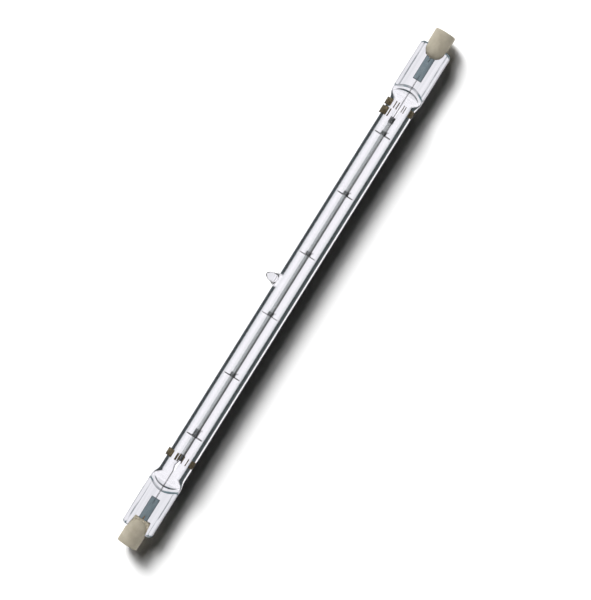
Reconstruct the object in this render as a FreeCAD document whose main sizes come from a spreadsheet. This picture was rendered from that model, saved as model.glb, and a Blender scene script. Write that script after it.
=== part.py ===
"""Double-ended halogen lamp: a clear quartz tube pinched flat at both ends, with slotted ceramic caps.

The lamp's axis is X, with the middle of the lamp at the origin. The pinch seals lie flat in the XY plane,
the exhaust tip points along +Y, and the right-hand end is at +X. Sizes are in millimetres.
"""

import FreeCAD, Part
import os
import re

import Sketcher

Vector = FreeCAD.Vector
Rotation = FreeCAD.Rotation

SIZES = {
    # Whole lamp, from cap end to cap end
    "overall_length": 189.1,
    # Quartz tube
    "tube_diameter": 10.0,
    "tube_wall": 1.0,
    "shoulder_length": 4.0,
    # Pinch seals, with a thick rail along each edge of a thinner web
    "seal_length": 17.95,
    "seal_inset": 5.4,
    "seal_width": 10.8,
    "seal_rail_thickness": 3.4,
    "seal_rail_width": 1.25,
    "seal_web_thickness": 2.4,
    "seal_edge_radius": 1.1,
    "seal_corner_radius": 1.5,
    "seal_side_wall": 0.8,
    "seal_step": 0.8,
    "jaw_arch": 2.1,
    "jaw_gap": 0.65,
    # Rounded end of the bore, inside each seal
    "bore_end_reach": 1.8,
    "bore_end_height": 1.4,
    # Exhaust tip
    "tip_shift": 0.9,
    "tip_height": 3.0,
    "tip_base_diameter": 3.4,
    "tip_root_diameter": 4.6,
    "tip_base_height": 0.45,
    "tip_root_depth": 0.9,
    "tip_shoulder_diameter": 2.6,
    "tip_shoulder_height": 1.75,
    "tip_crown_diameter": 1.4,
    "tip_crown_height": 0.45,
    "tip_hollow_diameter": 3.2,
    "tip_hollow_top_diameter": 1.2,
    "tip_hollow_depth": 1.0,
    "tip_hollow_height": 1.4,
    # Ceramic caps
    "cap_diameter": 7.0,
    "cap_length": 9.5,
    "cap_edge": 0.35,
    "recess_diameter": 4.2,
    "recess_depth": 1.7,
    # Cement in the cap's slot
    "cement_layer": 0.2,
    "cement_floor": 0.3,
    "cement_overhang": 0.25,
    # Contact button at the bottom of each recess
    "contact_diameter": 3.6,
    "contact_thickness": 0.6,
    "contact_shank_diameter": 1.6,
    "contact_shank_length": 2.4,
    "contact_edge": 0.15,
    "contact_clearance": 0.05,
    # Seal foils, thinned to feather edges
    "foil_width": 3.0,
    "foil_length": 10.4,
    "foil_inset": 7.0,
    "foil_thickness": 0.05,
    "foil_feather": 0.4,
    # Lead wires, each flattened where it is welded to its foil
    "lead_diameter": 0.45,
    "weld_length": 2.4,
    "weld_flat": 0.05,
    "outer_weld_length": 3.8,
    "lead_bow": 0.5,
    "lead_bow_length": 4.2,
    "lead_bow_end": 0.5,
    # Grip at the filament end of each inner lead
    "grip_diameter": 1.8,
    "grip_length": 1.9,
    "grip_back": 0.4,
    # Filament coil, as the tube that its turns fill
    "coil_length": 126.0,
    "coil_diameter": 1.5,
    "coil_wire": 0.18,
    # Wire supports along the filament
    "support_margin": 7.3,
    "support_shift": 1.2,
    "support_wire": 0.26,
    "support_ring_diameter": 5.5,
    "support_ring_sweep": 300.0,
    "support_knot_length": 1.6,
    "support_end_knot_length": 2.9,
    "support_clearance": 0.03,
}
SUPPORT_COUNT = 6
SPIRAL_STEPS = 8
RING_STEPS = 15

doc = FreeCAD.newDocument("linear_halogen_bulb")
sheet = doc.addObject("Spreadsheet::Sheet", "Sizes")
for row, (alias, number) in enumerate(SIZES.items(), start=1):
    sheet.set(f"A{row}", alias)
    sheet.set(f"B{row}", str(number))
    sheet.setAlias(f"B{row}", alias)
doc.recompute()


def bound(formula):
    """The formula with each size read from the sheet."""
    return re.sub(r"[a-z_]+", lambda w: f"Sizes.{w[0]}" if w[0] in SIZES else w[0], formula)


def size(formula):
    """What the formula comes to now."""
    return float(sheet.evalExpression(bound(formula)))


def bind(item, **formulas):
    """Ties an object's properties to the sheet; a name such as Base_x stands for Placement.Base.x."""
    for name, formula in formulas.items():
        path = name.replace("Base_", "Placement.Base.") if name.startswith("Base_") else name
        item.setExpression(path, bound(formula))
    return item


def add(kind, name, **formulas):
    return bind(doc.addObject(kind, name), **formulas)


def combine(kind, name, *shapes):
    """A boolean of several objects: the first is cut by the second in a Part::Cut."""
    result = doc.addObject(kind, name)
    if kind == "Part::Cut":
        result.Base, result.Tool = shapes
    else:
        result.Shapes = list(shapes)
    result.Refine = False
    return result


# Sketches


def new_body(name):
    return doc.addObject("PartDesign::Body", name)


def new_sketch(body, name, plane, offset=None):
    """A sketch on one of the body's origin planes, moved along the plane's normal by offset."""
    sketch = body.newObject("Sketcher::SketchObject", name)
    support = [f for f in body.Origin.OriginFeatures if f.Role == plane][0]
    sketch.AttachmentSupport = [(support, "")]
    sketch.MapMode = "FlatFace"
    if offset:
        sketch.setExpression("AttachmentOffset.Base.z", bound(offset))
    return sketch


def arc_between(start, end, radius):
    """The short arc from start to end, bulging to the right of the way, or left if radius is negative."""
    chord = end - start
    half = chord.Length / 2
    side = Vector(-chord.y, chord.x, 0).normalize()
    depth = max(radius * radius - half * half, 0) ** 0.5
    centre = (start + end) * 0.5 + side * (depth if radius > 0 else -depth)
    middle = centre + ((start + end) * 0.5 - centre).normalize() * abs(radius)
    if depth < 1e-9:
        middle = centre - side * radius
    return Part.Arc(start, middle, end)


def draw(sketch, corners, arcs=None, closed=True):
    """Draws an outline through corners, given as pairs of formulas; arcs gives some edges a radius."""
    arcs = arcs or {}
    points = [Vector(size(x), size(y), 0) for x, y in corners]
    edges = len(points) if closed else len(points) - 1
    ends = []
    for i in range(edges):
        start, end = points[i], points[(i + 1) % len(points)]
        if i in arcs:
            radius = size(arcs[i])
            number = sketch.addGeometry(arc_between(start, end, radius), False)
            ends.append((number, 1, 2) if radius > 0 else (number, 2, 1))
            tied = sketch.addConstraint(Sketcher.Constraint("Radius", number, abs(radius)))
            sketch.setExpression(f"Constraints[{tied}]", bound(f"abs({arcs[i]})"))
        else:
            number = sketch.addGeometry(Part.LineSegment(start, end), False)
            ends.append((number, 1, 2))
    for i in range(edges if closed else edges - 1):
        following = ends[(i + 1) % edges]
        sketch.addConstraint(Sketcher.Constraint("Coincident", ends[i][0], ends[i][2], *following[:2]))
    for i, (x, y) in enumerate(corners):
        number, place = (ends[i][0], ends[i][1]) if i < edges else (ends[-1][0], ends[-1][2])
        for kind, formula in (("DistanceX", x), ("DistanceY", y)):
            tied = sketch.addConstraint(Sketcher.Constraint(kind, -1, 1, number, place, size(formula)))
            sketch.setExpression(f"Constraints[{tied}]", bound(formula))
    return sketch


def draw_circle(sketch, diameter):
    """A circle on the sketch's origin."""
    number = sketch.addGeometry(Part.Circle(Vector(0, 0, 0), Vector(0, 0, 1), size(diameter) / 2))
    sketch.addConstraint(Sketcher.Constraint("Coincident", number, 3, -1, 1))
    tied = sketch.addConstraint(Sketcher.Constraint("Diameter", number, size(diameter)))
    sketch.setExpression(f"Constraints[{tied}]", bound(diameter))
    return sketch


def feature(body, kind, name, sketch, **formulas):
    made = body.newObject(f"PartDesign::{kind}", name)
    made.Profile = sketch
    return bind(made, **formulas)


def revolve(body, kind, name, sketch, axis):
    made = feature(body, kind, name, sketch)
    made.ReferenceAxis = (sketch, [axis])
    made.Angle = 360
    return made


def cut_through(body, name, sketch):
    """A cut right through the body, to both sides of the sketch."""
    made = feature(body, "Pocket", name, sketch)
    made.Type = "ThroughAll"
    made.Midplane = True
    return made


def place_at_end(body, side):
    """Moves a body, drawn with the lamp along -X from x = 0, to its end of the lamp."""
    body.Placement.Rotation = Rotation(Vector(0, 0, 1), 0 if side > 0 else 180)
    return bind(body, Base_x=f"{side} * overall_length / 2")


# Formulas that several pieces share; distances along an end are measured inwards from the cap's outer face

SEAL_START = "overall_length / 2 - seal_inset - seal_length"
TUBE_END = f"{SEAL_START} - shoulder_length"
FOIL_TOP = "weld_flat - lead_diameter / 2"
SLOT_WIDTH = "seal_web_thickness + 2 * cement_layer"
SLOT_FLOOR = "seal_inset - cement_floor"
COIL_END = "overall_length / 2 - coil_length / 2"
SHANK_HOLE = "contact_shank_diameter + 2 * contact_clearance"


# Quartz envelope

ACROSS = Rotation(Vector(1, 1, 1), 120)
ALONG_X = Rotation(Vector(0, 1, 0), 90)
UPWARDS = Rotation(Vector(1, 0, 0), -90)
SHOULDER_STEPS = (0, 0.45, 1)
BORE_END_STEPS = (0.6, 0.92)


def rod(name, diameter, length):
    """A cylinder on the lamp's axis, centred on its middle."""
    made = add("Part::Cylinder", name, Radius=f"({diameter}) / 2", Height=length)
    made.Placement.Rotation = ALONG_X
    return bind(made, Base_x=f"-({length}) / 2")


def ellipse_loft(name, sections):
    """A loft along the lamp's axis through ellipses, each given by its place, width and height."""
    loft = doc.addObject("Part::Loft", name)
    ellipses = []
    for x, width, height in sections:
        ellipse = add("Part::Ellipse", f"{name}_section")
        bind(ellipse, MajorRadius=f"({width}) / 2", MinorRadius=f"({height}) / 2")
        ellipse.Placement.Rotation = ACROSS
        ellipses.append(bind(ellipse, Base_x=x))
    loft.Sections = ellipses
    loft.Solid = True
    loft.Ruled = True
    return loft


def shoulder_sections(round_diameter, flat_width, flat_height):
    """Sections from the round tube down to the flat seal, easing out of the tube."""
    sections = []
    for step in SHOULDER_STEPS:
        eased = step**1.5
        width = f"({round_diameter}) * {1 - eased} + ({flat_width}) * {eased}"
        height = f"({round_diameter}) * {1 - eased} + ({flat_height}) * {eased}"
        sections.append((f"{TUBE_END} + {step} * shoulder_length", width, height))
    return sections


def bore_end_sections(flat_width, flat_height):
    """Sections that close the bore inside the seal, narrowing along a quarter of an ellipse."""
    sections = []
    for step in BORE_END_STEPS:
        narrow = (1 - step**2) ** 0.5
        place = f"{SEAL_START} + {step} * bore_end_reach"
        sections.append((place, f"({flat_width}) * {narrow}", f"({flat_height}) * {narrow}"))
    return sections


def seal_blank():
    """The flat seal: rounded edges and corners, and a web pressed into both faces up to the jaws' arch."""
    body = new_body("seal_blank")
    half = "seal_width / 2"
    top = "seal_rail_thickness / 2"
    edge = "seal_edge_radius"
    end = "overall_length / 2 - seal_inset"
    section = draw(
        new_sketch(body, "seal_section", "YZ_Plane", end),
        [
            (half, f"{edge} - {top}"),
            (half, f"{top} - {edge}"),
            (f"{half} - {edge}", top),
            (f"{edge} - {half}", top),
            (f"-{half}", f"{top} - {edge}"),
            (f"-{half}", f"{edge} - {top}"),
            (f"{edge} - {half}", f"-{top}"),
            (f"{half} - {edge}", f"-{top}"),
        ],
        {1: edge, 3: edge, 5: edge, 7: edge},
    )
    slab = feature(body, "Pad", "seal_slab", section, Length="seal_length + seal_step")
    slab.Reversed = True

    corner = "seal_corner_radius"
    rounding = new_sketch(body, "seal_corners", "XY_Plane")
    draw(
        rounding,
        [
            (end, f"{half} - {corner}"),
            (f"{end} - {corner}", half),
            (f"{end} - {corner}", f"{half} + {corner}"),
            (f"{end} + {corner}", f"{half} + {corner}"),
            (f"{end} + {corner}", f"{half} - {corner}"),
        ],
        {0: corner},
    )
    draw(
        rounding,
        [
            (f"{end} - {corner}", f"-{half}"),
            (end, f"{corner} - {half}"),
            (f"{end} + {corner}", f"{corner} - {half}"),
            (f"{end} + {corner}", f"-{half} - {corner}"),
            (f"{end} - {corner}", f"-{half} - {corner}"),
        ],
        {0: corner},
    )
    cut_through(body, "seal_corners_cut", rounding)

    web = "seal_width / 2 - seal_rail_width"
    arch_side = f"{SEAL_START} + jaw_gap"
    arch_radius = f"(({web})^2 + jaw_arch^2) / (2 * jaw_arch)"
    outline = [
        (arch_side, web),
        (arch_side, f"-({web})"),
        (f"{end} + seal_step", f"-({web})"),
        (f"{end} + seal_step", web),
    ]
    for face, sign in (("upper", 1), ("lower", -1)):
        offset = f"{sign} * seal_web_thickness / 2"
        sketch = new_sketch(body, f"web_{face}", "XY_Plane", offset)
        draw(sketch, outline, {0: f"-({arch_radius})"})
        pocket = feature(body, "Pocket", f"web_pocket_{face}", sketch)
        pocket.Type = "ThroughAll"
        pocket.Reversed = sign > 0
    return body


def exhaust_tip():
    """The sealed-off stump of the exhaust tube, turned about its own axis on the tube's +Y side."""
    body = new_body("exhaust_tip")
    foot = "tube_diameter / 2"
    crown = "(tip_crown_diameter / 2)"
    profile = [
        ("0", f"{foot} - tip_root_depth"),
        ("tip_root_diameter / 2", f"{foot} - tip_root_depth"),
        ("tip_base_diameter / 2", f"{foot} + tip_base_height"),
        ("tip_shoulder_diameter / 2", f"{foot} + tip_shoulder_height"),
        (crown, f"{foot} + tip_height - tip_crown_height"),
        ("0", f"{foot} + tip_height"),
    ]
    crown_radius = f"({crown}^2 + tip_crown_height^2) / (2 * tip_crown_height)"
    sketch = draw(new_sketch(body, "tip_profile", "XY_Plane"), profile, {4: crown_radius})
    revolve(body, "Revolution", "tip_turned", sketch, "V_Axis")
    return bind(body, Base_x="tip_shift")


def mirrored(source):
    """The same shape at the lamp's other end."""
    made = doc.addObject("Part::Mirroring", f"{source.Name}_left")
    made.Source = source
    made.Normal = Vector(1, 0, 0)
    return made


def both_ends(*shapes):
    return [*shapes, *(mirrored(shape) for shape in shapes)]


def envelope_blank():
    """The blown quartz, with its bore but without the channels for the foils and leads."""
    bore = "tube_diameter - 2 * tube_wall"
    flat_bore = "seal_width - 2 * seal_side_wall"
    outside = combine(
        "Part::MultiFuse",
        "outside",
        rod("tube_outside", "tube_diameter", f"2 * ({TUBE_END})"),
        *both_ends(
            ellipse_loft(
                "outer_shoulder",
                shoulder_sections("tube_diameter", "seal_width", "seal_rail_thickness"),
            ),
            seal_blank(),
        ),
        exhaust_tip(),
    )
    bore_end = ellipse_loft(
        "bore_end",
        shoulder_sections(bore, flat_bore, "bore_end_height")
        + bore_end_sections(flat_bore, "bore_end_height"),
    )
    tip_hollow = add(
        "Part::Cone",
        "tip_hollow",
        Radius1="tip_hollow_diameter / 2",
        Radius2="tip_hollow_top_diameter / 2",
        Height="tip_hollow_depth + tip_hollow_height",
        Base_x="tip_shift",
        Base_y=f"({bore}) / 2 - tip_hollow_depth",
    )
    tip_hollow.Placement.Rotation = UPWARDS
    inside = combine(
        "Part::MultiFuse",
        "inside",
        rod("tube_bore", bore, f"2 * ({TUBE_END})"),
        *both_ends(bore_end),
        tip_hollow,
    )
    return combine("Part::Cut", "envelope_blank", outside, inside)


# Ceramic caps and what they hold


def ceramic_cap(name, side):
    """Turned outline with a rounded inner end, a slot for the seal and a stepped bore for the contact."""
    body = new_body(name)
    radius = "cap_diameter / 2"
    outline = draw(
        new_sketch(body, "cap_outline", "XY_Plane"),
        [
            ("0", "0"),
            ("0", f"{radius} - cap_edge"),
            ("-cap_edge", radius),
            (f"{radius} - cap_length", radius),
            ("-cap_length", "0"),
        ],
        {3: radius},
    )
    revolve(body, "Revolution", "cap_turned", outline, "H_Axis")
    slot = draw(
        new_sketch(body, "cap_slot", "XZ_Plane"),
        [
            (f"-({SLOT_FLOOR})", f"-({SLOT_WIDTH}) / 2"),
            (f"-({SLOT_FLOOR})", f"({SLOT_WIDTH}) / 2"),
            ("-cap_length - cement_overhang", f"({SLOT_WIDTH}) / 2"),
            ("-cap_length - cement_overhang", f"-({SLOT_WIDTH}) / 2"),
        ],
    )
    cut_through(body, "cap_slot_cut", slot)
    seat = "recess_depth + contact_thickness"
    seat_radius = "contact_diameter / 2 + contact_clearance"
    bore = draw(
        new_sketch(body, "cap_bore", "XY_Plane"),
        [
            ("0", "0"),
            ("0", "recess_diameter / 2"),
            ("-recess_depth", "recess_diameter / 2"),
            ("-recess_depth", seat_radius),
            (f"-({seat})", seat_radius),
            (f"-({seat})", f"({SHANK_HOLE}) / 2"),
            (f"-({SLOT_FLOOR})", f"({SHANK_HOLE}) / 2"),
            (f"-({SLOT_FLOOR})", "0"),
        ],
    )
    revolve(body, "Groove", "cap_bored", bore, "H_Axis")
    return place_at_end(body, side)


def contact_button(name, side):
    """A flat contact on a shank that the outer lead is welded to."""
    body = new_body(name)
    rim = "contact_diameter / 2"
    face = "-recess_depth"
    back = "-recess_depth - contact_thickness"
    shank_end = f"{back} - contact_shank_length"
    outline = draw(
        new_sketch(body, "button_outline", "XY_Plane"),
        [
            (face, "0"),
            (face, f"{rim} - contact_edge"),
            (f"{face} - contact_edge", rim),
            (back, rim),
            (back, "contact_shank_diameter / 2"),
            (shank_end, "contact_shank_diameter / 2"),
            (shank_end, "0"),
        ],
    )
    revolve(body, "Revolution", "button_turned", outline, "H_Axis")
    return place_at_end(body, side)


def weld_flat(body, name, near, far):
    """Flattens the underside of a lead where it lies on its foil; near and far are from the lamp's end."""
    sketch = draw(
        new_sketch(body, name, "XZ_Plane"),
        [
            (f"-({near})", "-lead_diameter"),
            (f"-({near})", FOIL_TOP),
            (f"-({far})", FOIL_TOP),
            (f"-({far})", "-lead_diameter"),
        ],
    )
    cut_through(body, f"{name}_cut", sketch)


def outer_lead(name, side):
    """The straight wire from the contact to the outer end of the foil."""
    body = new_body(name)
    start = "recess_depth + contact_thickness + contact_shank_length"
    end = "foil_inset + outer_weld_length"
    section = draw_circle(new_sketch(body, "wire_section", "YZ_Plane", f"-({start})"), "lead_diameter")
    wire = feature(body, "Pad", "wire", section, Length=f"{end} - ({start})")
    wire.Reversed = True
    weld_flat(body, "weld", "foil_inset", f"{end} + weld_length")
    return place_at_end(body, side)


def seal_foil(name, side):
    """A thin foil with feather edges, under the two leads."""
    body = new_body(name)
    half = "foil_width / 2"
    middle = f"{FOIL_TOP} - foil_thickness / 2"
    lower = f"{FOIL_TOP} - foil_thickness"
    section = draw(
        new_sketch(body, "foil_section", "YZ_Plane", "-foil_inset"),
        [
            (f"-{half}", middle),
            (f"foil_feather - {half}", lower),
            (f"{half} - foil_feather", lower),
            (half, middle),
            (f"{half} - foil_feather", FOIL_TOP),
            (f"foil_feather - {half}", FOIL_TOP),
        ],
    )
    strip = feature(body, "Pad", "foil_strip", section, Length="foil_length")
    strip.Reversed = True
    return place_at_end(body, side)


def inner_lead(name, side, bow=None):
    """The wire from the inner end of the foil to the filament, with a sleeve over the coil's end."""
    body = new_body(name)
    start = "foil_inset + foil_length - weld_length"
    end = f"{COIL_END} - grip_back / 2"
    section = draw_circle(new_sketch(body, "wire_section", "YZ_Plane", f"-({start})"), "lead_diameter")
    route = [(f"-({start})", "0"), (f"-({end})", "0")]
    if bow:
        route[1:1] = [
            (f"-({end}) + lead_bow_length", "0"),
            (f"-({end}) + 0.65 * lead_bow_length", f"{bow} * lead_bow"),
            (f"-({end}) + 0.35 * lead_bow_length", f"{bow} * lead_bow"),
            (f"-({end}) + lead_bow_end", "0"),
        ]
    path = draw(new_sketch(body, "wire_path", "XY_Plane"), route, closed=False)
    doc.recompute()
    wire = feature(body, "AdditivePipe", "wire", section)
    wire.Spine = (path, [f"Edge{i + 1}" for i in range(len(route) - 1)])
    wire.Transition = "Right corner"

    inner = "coil_diameter / 2"
    outer = "grip_diameter / 2"
    back = f"-({COIL_END}) + grip_back"
    front = f"-({COIL_END}) - grip_length"
    outline = [
        (back, "0"),
        (back, outer),
        (front, outer),
        (front, inner),
        (f"-({COIL_END})", inner),
        (f"-({COIL_END})", "0"),
    ]
    grip = draw(new_sketch(body, "grip_outline", "XY_Plane"), outline)
    revolve(body, "Revolution", "grip", grip, "H_Axis")
    weld_flat(body, "weld", f"{start} - weld_length", "foil_inset + foil_length")
    return place_at_end(body, side)


def cap_cement(name, side, envelope, lead):
    """Cement that fills the cap's slot round the seal and stands out a little past the cap's nose."""
    body = new_body(f"{name}_blank")
    radius = "cap_diameter / 2"
    straight = "-cap_length + cap_diameter / 2 - cement_overhang"
    plan = draw(
        new_sketch(body, "cement_plan", "XY_Plane"),
        [
            (f"-({SLOT_FLOOR})", f"-{radius}"),
            (f"-({SLOT_FLOOR})", radius),
            (straight, radius),
            ("-cap_length - cement_overhang", "0"),
            (straight, f"-{radius}"),
        ],
        {2: radius, 3: radius},
    )
    slab = feature(body, "Pad", "cement_slab", plan, Length=SLOT_WIDTH)
    slab.Midplane = True
    place_at_end(body, side)
    around = combine("Part::MultiFuse", f"{name}_core", envelope, lead)
    return combine("Part::Cut", name, body, around)


# Filament and its supports


def filament():
    outside = rod("coil_outside", "coil_diameter", "coil_length")
    inside = rod("coil_inside", "coil_diameter - 2 * coil_wire", "coil_length")
    return combine("Part::Cut", "filament", outside, inside)


def filament_support(number):
    """A wire ring that spirals in to a knot of close turns round the filament; the first knot is longer."""
    body = new_body(f"filament_support_{number}")
    ring = "support_ring_diameter / 2"
    hole = "(coil_diameter / 2 + support_clearance)"
    grip = f"({hole} + support_wire / 2)"
    half = "support_wire / 2"
    route = []
    for step in range(SPIRAL_STEPS):
        share = 1 - step / SPIRAL_STEPS
        reach = f"({ring} - ({ring} - {grip}) * {share})"
        route.append((f"{reach} * cos(180 * {share})", f"-{reach} * sin(180 * {share})"))
    for step in range(RING_STEPS + 1):
        angle = f"support_ring_sweep * {step / RING_STEPS}"
        route.append((f"{ring} * cos({angle})", f"{ring} * sin({angle})"))
    path = draw(new_sketch(body, "wire_path", "YZ_Plane"), route, closed=False)
    section = draw(
        new_sketch(body, "wire_section", "XY_Plane"),
        [
            (f"-{half}", f"{half} - {grip}"),
            (half, f"{half} - {grip}"),
            ("0", f"-{half} - {grip}"),
        ],
    )
    doc.recompute()
    wire = feature(body, "AdditivePipe", "wire", section)
    wire.Spine = (path, [f"Edge{i + 1}" for i in range(len(route) - 1)])
    wire.Transition = "Right corner"
    length = "support_end_knot_length" if number == 1 else "support_knot_length"
    knot_section = draw(
        new_sketch(body, "knot_section", "XY_Plane"),
        [
            (f"-{half}", hole),
            (f"{length} - {half}", hole),
            (f"{length} - {half}", f"{hole} + support_wire"),
            (f"-{half}", f"{hole} + support_wire"),
        ],
    )
    revolve(body, "Revolution", "knot", knot_section, "H_Axis")
    place = (number - 1) / (SUPPORT_COUNT - 1) - 0.5
    return bind(body, Base_x=f"support_shift + {place} * (coil_length - 2 * support_margin)")


def write_parts(parts):
    """Recomputes the document, stops on anything that failed, and writes one file for each part."""
    doc.recompute()
    failed = [item.Name for item in doc.Objects if {"Invalid", "Error"} & set(item.State)]
    if failed:
        raise RuntimeError(f"these did not compute: {failed}")
    os.makedirs("parts", exist_ok=True)
    for part in parts:
        if part.Shape.isNull() or not part.Shape.isValid():
            raise RuntimeError(f"{part.Label} has no sound shape")
    for part in parts:
        part.Shape.exportStep(f"parts/{part.Label}.step")
        print(f"{part.Label}: {len(part.Shape.Solids)} solid, {part.Shape.Volume:.3f} mm3")


def main():
    blank = envelope_blank()
    parts = [filament()]
    channels = []
    for word, side in (("left", -1), ("right", 1)):
        lead = outer_lead(f"outer_lead_{word}", side)
        foil = seal_foil(f"seal_foil_{word}", side)
        inner = inner_lead(f"inner_lead_{word}", side, bow=-1 if side < 0 else None)
        channels += [lead, foil, inner]
        parts += [
            ceramic_cap(f"ceramic_cap_{word}", side),
            contact_button(f"contact_button_{word}", side),
            cap_cement(f"cap_cement_{word}", side, blank, lead),
        ]
    parts += channels
    coil_room = rod("coil_room", "coil_diameter", "coil_length")
    filled = combine("Part::MultiFuse", "channels", coil_room, *channels)
    parts.append(combine("Part::Cut", "quartz_envelope", blank, filled))
    parts += [filament_support(i + 1) for i in range(SUPPORT_COUNT)]
    write_parts(parts)


main()
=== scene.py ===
"""Double-ended halogen lamp on a white table, seen from straight above.

Shapes are worked out in millimetres in the CAD frame: X along the lamp, +Y out of the exhaust tip, +Z up.
"""

import math

import bpy
from mathutils import Matrix, Vector, noise


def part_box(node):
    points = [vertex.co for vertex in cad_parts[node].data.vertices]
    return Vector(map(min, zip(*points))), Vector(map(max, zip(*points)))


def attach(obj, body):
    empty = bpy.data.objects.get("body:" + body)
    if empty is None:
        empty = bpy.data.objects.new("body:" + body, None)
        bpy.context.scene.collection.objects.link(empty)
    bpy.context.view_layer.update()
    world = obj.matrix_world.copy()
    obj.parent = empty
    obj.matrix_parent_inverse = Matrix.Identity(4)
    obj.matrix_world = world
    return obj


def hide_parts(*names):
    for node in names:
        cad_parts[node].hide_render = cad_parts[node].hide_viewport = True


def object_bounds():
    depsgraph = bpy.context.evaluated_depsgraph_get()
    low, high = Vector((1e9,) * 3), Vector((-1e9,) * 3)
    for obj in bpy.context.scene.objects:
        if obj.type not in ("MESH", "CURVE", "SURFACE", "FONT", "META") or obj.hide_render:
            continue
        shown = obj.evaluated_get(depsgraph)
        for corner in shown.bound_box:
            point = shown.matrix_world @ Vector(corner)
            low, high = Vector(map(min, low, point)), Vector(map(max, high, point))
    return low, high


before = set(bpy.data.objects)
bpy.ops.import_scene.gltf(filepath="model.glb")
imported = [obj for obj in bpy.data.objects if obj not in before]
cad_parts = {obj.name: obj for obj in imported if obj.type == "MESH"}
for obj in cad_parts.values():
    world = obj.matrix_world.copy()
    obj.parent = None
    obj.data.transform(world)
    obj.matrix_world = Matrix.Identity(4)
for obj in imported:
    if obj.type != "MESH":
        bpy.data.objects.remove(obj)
cad_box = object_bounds()
MM = 0.001
SIDES = {"left": -1, "right": 1}
PIECES = []

# Sizes read from the CAD nodes

LAMP_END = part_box("ceramic_cap_right")[1].x / MM
SEAL_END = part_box("quartz_envelope")[1].x / MM
TUBE_RADIUS = -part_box("quartz_envelope")[0].z / MM
SEAL_HALF = -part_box("quartz_envelope")[0].y / MM
TIP_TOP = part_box("quartz_envelope")[1].y / MM
COIL_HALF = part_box("filament")[1].x / MM
COIL_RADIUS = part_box("filament")[1].z / MM
FOIL_LOW, FOIL_HIGH = (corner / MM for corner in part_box("seal_foil_right"))

# Tube, shoulders and seals; a seal has a rail along each edge and a thinner web between them

WALL = 1.0
SEAL_LENGTH, SHOULDER_LENGTH = 17.95, 4
SEAL_START = SEAL_END - SEAL_LENGTH
TUBE_END = SEAL_START - SHOULDER_LENGTH
SHOULDER_EASE_Y, SHOULDER_EASE_Z = 1.8, 1.5
RAIL_HALF_HEIGHT, WEB_HALF_HEIGHT = 1.7, 1.2
RAIL_WIDTH, RAIL_STEP, RAIL_SLOPE = 1.25, 0.16, 0.5
EDGE_RADIUS, CORNER_RADIUS, END_ROUND = 1.1, 1.5, 0.6

# Curved step that the jaws left across each seal, and the flat pocket that the bore ends in

JAW_GAP, JAW_ARCH, ARCH_HALF, ARCH_RUN = 0.4, 2.35, 5.2, 0.55
STEP_END = 75
BORE_SEAL_HALF, BORE_SEAL_HEIGHT = 4.6, 0.7
BORE_REACH, BORE_ROUND = 1.8, 1.2

# Exhaust tip and the hollow under it: distance from the tip's own axis, and height above the lamp's axis

TIP_X, TIP_SPAN, TIP_ANGLE = 0.9, 3, 0.56
FAR_BELOW = (200, -900)
TIP_SIDE = [(0.4, 7.93), (0.8, 7.6), (1.15, 7.1), (1.45, 6.4), (1.7, 5.45), (2.3, 4.1)]
TIP_PROFILE = [(0, TIP_TOP), *TIP_SIDE, FAR_BELOW]
HOLLOW_PROFILE = [(0, 5.4), (0.5, 5.3), (0.9, 4.75), (1.3, 4.1), (1.7, 3.2), (3, 0), FAR_BELOW]
TIP_FILLET, HOLLOW_FILLET = 0.5, 0.6

# Caps and contacts, with depths from the lamp's end

CAP_RADIUS, CAP_LENGTH, CAP_EDGE = 3.5, 9.5, 0.35
NOSE = CAP_LENGTH - CAP_RADIUS
SLOT_FLOOR, SLOT_HALF = 5.1, 1.4
RECESS_RADIUS, RECESS_DEPTH = 2.1, 1.7
SEAT_RADIUS, SEAT_DEPTH = 1.85, 2.3
SHANK_HOLE_RADIUS = 0.85
BUTTON_RADIUS, BUTTON_DOME = 1.8, 0.16
SHANK_RADIUS, SHANK_END = 0.8, 4.7
CEMENT_HALF = 3.2
NEAR_AXIS = 0.02

# Leads, coil and supports

OUTER_LEAD = [(89.85, 0.225), (87, 0.225), (84.9, 0.225), (84.3, 0.21), (83.95, 0.16), (83.75, 0.06)]
LEAD_START, LEAD_RADIUS, LEAD_STEPS = 79.5, 0.2, 96
WELD_RADIUS, WELD_TAPER = 0.06, 0.07
HUMP_PLACE, HUMP_LENGTH, HUMP_HEIGHT = 2.3, 1.25, 0.48
GRIP_LENGTH, GRIP_TURNS, GRIP_WIRE_RADIUS = 1.8, 11.5, 0.075
COIL_TURNS, COIL_WIRE_RADIUS = 600, 0.09
CAD_WIRE_HALF, SUPPORT_WIRE_RADIUS = 0.13, 0.095
RING_RADIUS, RING_SWEEP, RING_STEPS = 2.75, 300, 59
SPIRAL_STEPS, KNOT_PITCH = 30, 0.26
SUPPORT_COUNT = 6


# Mesh helpers


def smooth(t):
    """Eases from 0 to 1 as t goes from 0 to 1."""
    t = min(max(t, 0.0), 1.0)
    return t * t * (3 - 2 * t)


def along(table, t):
    """Reads a table of (place, value) pairs at t, in straight runs."""
    for (a, va), (b, vb) in zip(table, table[1:]):
        if t <= b:
            return va + (vb - va) * (t - a) / (b - a)
    return table[-1][1]


def soft_max(a, b, blend):
    """The larger of two heights, with a fillet where they meet."""
    h = max(blend - abs(a - b), 0.0) / blend
    return max(a, b) + h * h * blend / 4


def spread(start, end, step):
    """Places from start up to but not at end, about a step apart."""
    count = max(round((end - start) / step), 1)
    return [start + (end - start) * i / count for i in range(count)]


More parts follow.
